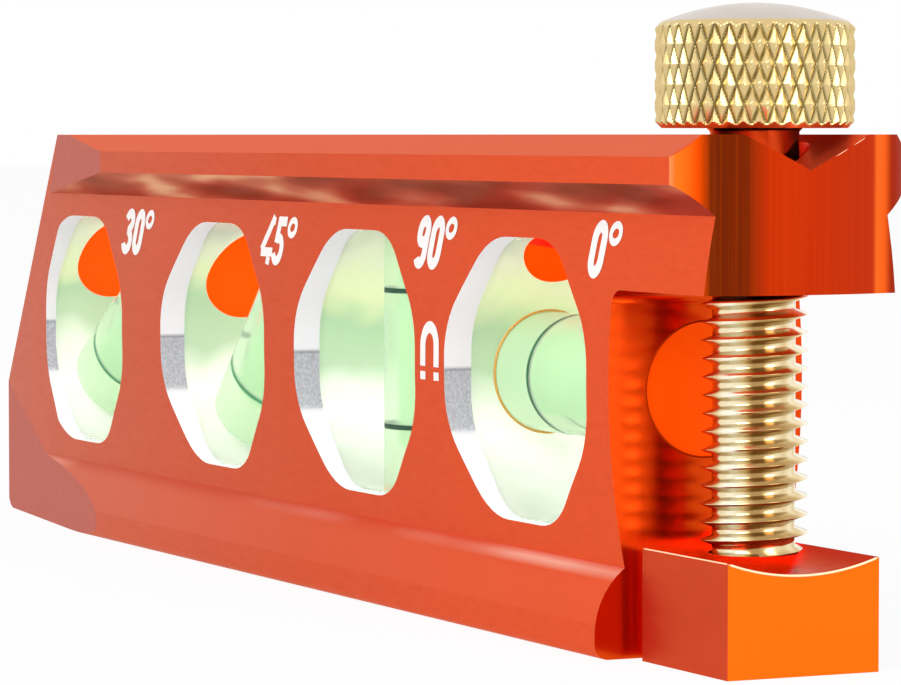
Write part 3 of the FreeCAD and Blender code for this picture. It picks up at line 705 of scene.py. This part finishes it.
def digit_lines(digit):
    """The middle lines of a digit's strokes, in a box one unit high, and whether each one closes on itself.
    The letter d stands for the degree ring."""
    if digit == "0":
        upper = arc((0.27, 0.68), (0.18, 0.23), 0, 180)
        lower = arc((0.27, 0.32), (0.18, 0.23), 180, 360)
        return [(np.concatenate([upper, lower]), True)]
    if digit == "3":
        upper = arc((0.24, 0.735), (0.19, 0.175), 165, -80)
        lower = arc((0.24, 0.29), (0.20, 0.20), 80, -165)
        return [(np.concatenate([upper, lower]), False)]
    if digit == "4":
        return [(line((0.42, 1.0), (0.42, 0.0)), False), (line((0.44, 1.0), (0.02, 0.30)), False),
                (line((0.0, 0.26), (0.60, 0.26)), False)]
    if digit == "5":
        bowl = arc((0.24, 0.325), (0.20, 0.235), 125, -160)
        return [(line((0.50, 0.91), (0.06, 0.91)), False), (line((0.14, 0.98), (0.12, 0.46)), False),
                (bowl, False)]
    if digit == "9":
        upper = arc((0.27, 0.73), (0.17, 0.18), 0, 180)
        lower = arc((0.27, 0.66), (0.17, 0.16), 180, 360)
        tail = np.concatenate([line((0.44, 0.72), (0.44, 0.30)), arc((0.27, 0.28), (0.17, 0.19), 0, -150)])
        return [(np.concatenate([upper, lower]), True), (tail, False)]
    return [(arc((0.22, 0.79), (0.18, 0.155), 0, 352, 28), True)]


def body_side(z):
    """How far the crowned side of the body stands from the middle plane at a height."""
    low, high, radius = np.array([8.2, 8.1]), np.array([8.5, 39.55]), 82.0
    chord = high - low
    middle = (low + high) / 2
    inward = np.array([-chord[1], chord[0]]) / np.hypot(*chord)
    centre = middle + inward * np.sqrt(radius ** 2 - chord @ chord / 4)
    return centre[0] + np.sqrt(radius ** 2 - (z - centre[1]) ** 2)


def stroke_strip(path, closed, width):
    """The two edges of a stroke: the path moved half a width to each side, square to its own direction."""
    if closed:
        ahead = np.roll(path, -1, axis=0) - np.roll(path, 1, axis=0)
    else:
        ahead = np.gradient(path, axis=0)
    ahead = ahead / np.linalg.norm(ahead, axis=1, keepdims=True)
    side = np.stack([-ahead[:, 1], ahead[:, 0]], axis=-1) * width / 2
    return np.stack([path + side, path - side], axis=1)


def print_strokes(name, strokes):
    """Thin ink on the body's front: each stroke's strip lies on the crowned side, 0.02 mm proud of it."""
    points, faces, start = [], [], 0
    for path, closed, width in strokes:
        strip = stroke_strip(path, closed, width)
        if closed:
            strip = np.concatenate([strip, strip[:1]])
        flat = strip.reshape(-1, 2)
        placed = np.stack([flat[:, 0], -body_side(flat[:, 1]) - INK_HEIGHT, flat[:, 1]], axis=-1)
        points.append(placed)
        faces.append(grid_faces(len(strip), 2) + start)
        start += len(flat)
    piece = mesh_piece(name, np.concatenate(points), np.concatenate(faces), INK, smooth=False)
    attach(piece, "level")
    return piece


def print_angle(text, left, base, high):
    """The slanted digits of an angle and its degree ring, from their left edge and base line."""
    strokes = []
    wide = high * DIGIT_SHARE
    for index, digit in enumerate(text):
        for path, closed in digit_lines(digit):
            x = path[:, 0] * high + path[:, 1] * high * SLOPE + left + index * wide * DIGIT_STEP
            thick = STROKE * {"4": 0.85, "5": 0.9, "d": 0.6}.get(digit, 1.0)
            strokes.append((np.stack([x, base + path[:, 1] * high], axis=-1), closed, thick))
    return print_strokes("printed_" + text.rstrip("d"), strokes)


def print_magnet(left, base):
    """A plain horseshoe magnet: an arch with two legs, and a short pole under each leg."""
    arch = np.concatenate([line((0.6, 3.6)), arc((2.1, 5.6), (1.5, 1.8), 180, 0), line((3.6, 3.6))])
    paths = [arch] + [line((x, 3.1), (x, 2.3)) for x in (0.6, 3.6)]
    return print_strokes("printed_magnet", [(path + (left, base), False, MAGNET_STROKE) for path in paths])


for text, (left, base) in PRINT_PLACES.items():
    print_angle(text, left, base, DIGIT_HIGH)
print_magnet(*MAGNET_PLACE)

# Rims and painted edge highlights

VIAL_LENGTH = 27.1
VIAL_RADIUS = 5.75
LEVEL_VIAL_MIDDLE = 58.6
CAP_RADIUS = 6.1


def rim_on_axis(name, middle, lean, along, radius, width, rise, material):
    """A thin rounded ring about a leaning axis: from its middle, a distance along the axis, then out by
    radius + rise * sin(s) and along by width / 2 * cos(s), for s and the ring's own angle right round."""
    axis = np.array([np.cos(lean), 0, np.sin(lean)])
    upright = np.array([-np.sin(lean), 0, np.cos(lean)])
    angle = np.linspace(0, TURN, 120, endpoint=False)[:, None, None]
    section = np.linspace(0, TURN, 12, endpoint=False)[None, :, None]
    outward = np.cos(angle) * np.array([0, 1.0, 0]) + np.sin(angle) * upright
    shift, reach = along + width / 2 * np.cos(section), radius + rise * np.sin(section)
    points = middle + axis * shift + outward * reach
    points = np.concatenate([points, points[:1]])
    return mesh_piece(name, points, grid_faces(*points.shape[:2], wrap=True), material)


amber_rim = rim_on_axis("vial_rim_0", np.array([LEVEL_VIAL_MIDDLE, 0, WINDOW_LEVEL]), 0.0, -VIAL_LENGTH / 2,
                        VIAL_RADIUS + 0.12, 0.34, 0.12, AMBER)
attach(amber_rim, "level")

cap_seam = rim_on_axis("cap_seam", np.array([GAP_WALL, 0, WINDOW_LEVEL]), 0.0, 0.0,
                       CAP_RADIUS, 0.20, 0.09, SEAM)
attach(cap_seam, "level")


def edge_highlight_line(name, path, radius):
    """A painted highlight along a machined edge: a thin pale glowing tube, a circle carried along a path of
    points, square to the path, and drawn in to a point at both ends."""
    path = np.asarray(path, float)
    ahead = np.gradient(path, axis=0)
    ahead /= np.linalg.norm(ahead, axis=1, keepdims=True)
    first = np.cross(ahead, [1.0, 0.2, 0.1])
    first /= np.linalg.norm(first, axis=1, keepdims=True)
    second = np.cross(ahead, first)
    angle = np.linspace(0, TURN, 8, endpoint=False)[None, :, None]
    swell = np.full((len(path), 1, 1), radius)
    swell[[0, -1]] = 0
    circle = np.cos(angle) * first[:, None, :] + np.sin(angle) * second[:, None, :]
    points = path[:, None, :] + swell * circle
    piece = mesh_piece(name, points, grid_faces(*points.shape[:2], wrap=True), PAINTED_EDGE_HIGHLIGHT)
    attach(piece, "level")
    return piece


def bubble_surface(name, middle, axis, over, half_length, radius):
    """A long round bubble: half its length times cos s along the vial, its radius times sin s about it."""
    along = np.linspace(0, np.pi, 25)[:, None, None]
    around = np.linspace(0, TURN, 36, endpoint=False)[None, :, None]
    outward = np.cos(around) * over + np.sin(around) * np.cross(over, axis)
    points = middle + axis * half_length * np.cos(along) + outward * radius * np.sin(along)
    piece = mesh_piece(name, points, grid_faces(*points.shape[:2], wrap=True), BUBBLE)
    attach(piece, "level")


SADDLE_RADIUS = 22.4
JAW_HALF = 7.48
JAW_END = BODY_END - 0.85
JAW_HEIGHT = 10.0
EDGE_STEPS = 40
# Painted highlights along the saddle's end edge, the lower jaw's top edge and the V groove's edge.
saddle_y = np.linspace(-JAW_HALF, JAW_HALF, EDGE_STEPS)
saddle_middle = JAW_HEIGHT + np.sqrt(SADDLE_RADIUS ** 2 - JAW_HALF ** 2)
saddle_z = saddle_middle - np.sqrt(SADDLE_RADIUS ** 2 - saddle_y ** 2)
edge_highlight_line("saddle_edge_highlight", np.stack([np.full(EDGE_STEPS, JAW_END), saddle_y, saddle_z], axis=-1), 0.10)
jaw_start, jaw_stop = (GAP_WALL + 2.1, -JAW_HALF, JAW_HEIGHT), (JAW_END, -JAW_HALF, JAW_HEIGHT)
edge_highlight_line("jaw_edge_highlight", np.linspace(jaw_start, jaw_stop, EDGE_STEPS), 0.06)

END_RADIUS = 26.0
groove_y = np.linspace(0, GROOVE_HALF, 16)
groove_x = BODY_END - END_RADIUS + np.sqrt(END_RADIUS ** 2 - groove_y ** 2)
groove_z = GROOVE_FLOOR + (TOP_LEVEL - GROOVE_FLOOR) * groove_y / GROOVE_HALF
edge_highlight_line("groove_edge_highlight", np.stack([groove_x - 0.1, groove_y, groove_z - 0.1], axis=-1), 0.09)

# Air bubbles, at the highest place of each vial: opaque, pale and glowing, a painted highlight for the air

BUBBLE_RISE = 5.5
BUBBLE_LIFT = 1.6
BUBBLE_HALF = 3.4
BUBBLE_RADIUS = 1.7

for mark, lean in (("30", 30), ("45", 45), ("90", 90), ("0", 0)):
    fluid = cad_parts["vial_fluid_" + mark]
    corners = np.array([fluid.matrix_world @ Vector(corner) for corner in fluid.bound_box]) / MM
    axis = np.array([np.cos(np.radians(lean)), 0, np.sin(np.radians(lean))])
    over = np.array([-axis[2], 0, axis[0]])
    middle = (corners.min(axis=0) + corners.max(axis=0)) / 2
    middle = middle + axis * (BUBBLE_RISE if lean else 0) + over * (BUBBLE_LIFT if lean < 90 else 0)
    bubble_surface("bubble_" + mark, middle, axis, over, BUBBLE_HALF, BUBBLE_RADIUS)

# Clear parts

for name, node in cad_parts.items():
    finish = None
    if name.startswith("lens_"):
        finish = ACRYLIC
    elif name.startswith("vial_tube"):
        finish = TUBE
    elif name.startswith("vial_fluid"):
        finish = FLUID
    elif name.startswith("vial_rings"):
        # Painted light: each vial's rings take one of three painted tones of one ink.
        finish = {"90": RING_INK_DARK_TONE, "0": RING_INK_MIDDLE_TONE}.get(name.rsplit("_")[-1], RING_INK_PALE_TONE)
    elif name.startswith("vial_plug"):
        finish = PLUG
    elif name == "end_cap":
        finish = CAP_FACE
    elif name.startswith("base_magnet"):
        finish = NICKEL
    if finish:
        node.data.materials.clear()
        node.data.materials.append(finish)

# Camera, floor and light

CAMERA_PLACE = (0.40395, -0.18196, 0.04642)
CAMERA_TURN = np.radians(25.526)
CAMERA_DIP = np.radians(2.824)
CAMERA_LENS = 167.81
FLOOR_REACH = 6.0


def light_path_mix(tree, seen, lit):
    """Shows one shader to the camera, mirrors and glass, and another one to the light that falls on
    things."""
    path = tree.nodes.new("ShaderNodeLightPath")
    direct = math_node(tree, "MAXIMUM", path.outputs["Is Camera Ray"], path.outputs["Is Glossy Ray"])
    shown = math_node(tree, "MAXIMUM", direct, path.outputs["Is Transmission Ray"])
    mix = tree.nodes.new("ShaderNodeMixShader")
    tree.links.new(shown, mix.inputs[0])
    tree.links.new(lit.outputs[0], mix.inputs[1])
    tree.links.new(seen.outputs[0], mix.inputs[2])
    return mix


def make_world():
    """A white background for the eye, and a softer one for the light it gives."""
    world = bpy.data.worlds.new("studio")
    bpy.context.scene.world = world
    world.use_nodes = True
    tree = world.node_tree
    lit = tree.nodes["Background"]
    lit.inputs["Color"].default_value = (1, 1, 1, 1)
    lit.inputs["Strength"].default_value = 0.55
    seen = tree.nodes.new("ShaderNodeBackground")
    seen.inputs["Color"].default_value = (1, 1, 1, 1)
    seen.inputs["Strength"].default_value = 1.0
    mix = light_path_mix(tree, seen, lit)
    tree.links.new(mix.outputs[0], tree.nodes["World Output"].inputs["Surface"])


def make_floor():
    """A plain pale floor that glows almost white and keeps the object's shadow."""
    material, shader = plain_material("pale_floor", (0.96, 0.96, 0.96), 0.0, 0.8)
    tree = material.node_tree
    glow = tree.nodes.new("ShaderNodeEmission")
    glow.inputs["Strength"].default_value = 1.0
    blend = tree.nodes.new("ShaderNodeMixShader")
    blend.inputs[0].default_value = 0.93
    tree.links.new(shader.outputs[0], blend.inputs[1])
    tree.links.new(glow.outputs[0], blend.inputs[2])
    mix = light_path_mix(tree, blend, shader)
    tree.links.new(mix.outputs[0], tree.nodes["Material Output"].inputs["Surface"])
    mesh = bpy.data.meshes.new("floor")
    corners = [(x * FLOOR_REACH, y * FLOOR_REACH, 0) for x, y in ((-1, -1), (1, -1), (1, 1), (-1, 1))]
    mesh.from_pydata(corners, [], [(0, 1, 2, 3)])
    mesh.materials.append(material)
    floor = bpy.data.objects.new("floor", mesh)
    bpy.context.scene.collection.objects.link(floor)


def area_lamp(name, place, target, size, power):
    """A rectangular white lamp turned to a target."""
    lamp = bpy.data.lights.new(name, "AREA")
    lamp.shape = "RECTANGLE"
    lamp.size, lamp.size_y = size
    lamp.energy = power
    holder = bpy.data.objects.new(name, lamp)
    holder.location = place
    holder.rotation_euler = (Vector(target) - Vector(place)).to_track_quat("-Z", "Y").to_euler()
    bpy.context.scene.collection.objects.link(holder)


def make_camera():
    """The photo's camera, as fitted to the corners of the body."""
    camera = bpy.data.cameras.new("camera")
    camera.lens = CAMERA_LENS
    camera.sensor_width = 36.0
    camera.sensor_fit = "HORIZONTAL"
    camera.clip_start = 0.01
    holder = bpy.data.objects.new("camera", camera)
    holder.location = CAMERA_PLACE
    level = np.cos(CAMERA_DIP)
    ahead = Vector((-np.cos(CAMERA_TURN) * level, np.sin(CAMERA_TURN) * level, -np.sin(CAMERA_DIP)))
    holder.rotation_euler = ahead.to_track_quat("-Z", "Y").to_euler()
    bpy.context.scene.collection.objects.link(holder)
    bpy.context.scene.camera = holder


make_world()
make_floor()
area_lamp("key", (0.5, -0.9, 0.8), (0, 0, 0.02), (0.7, 0.7), 9.0)
area_lamp("side", (1.2, 0.3, 0.4), (0.08, 0, 0.02), (0.5, 0.8), 5.0)
make_camera()
bpy.context.scene.view_settings.view_transform = "Standard"
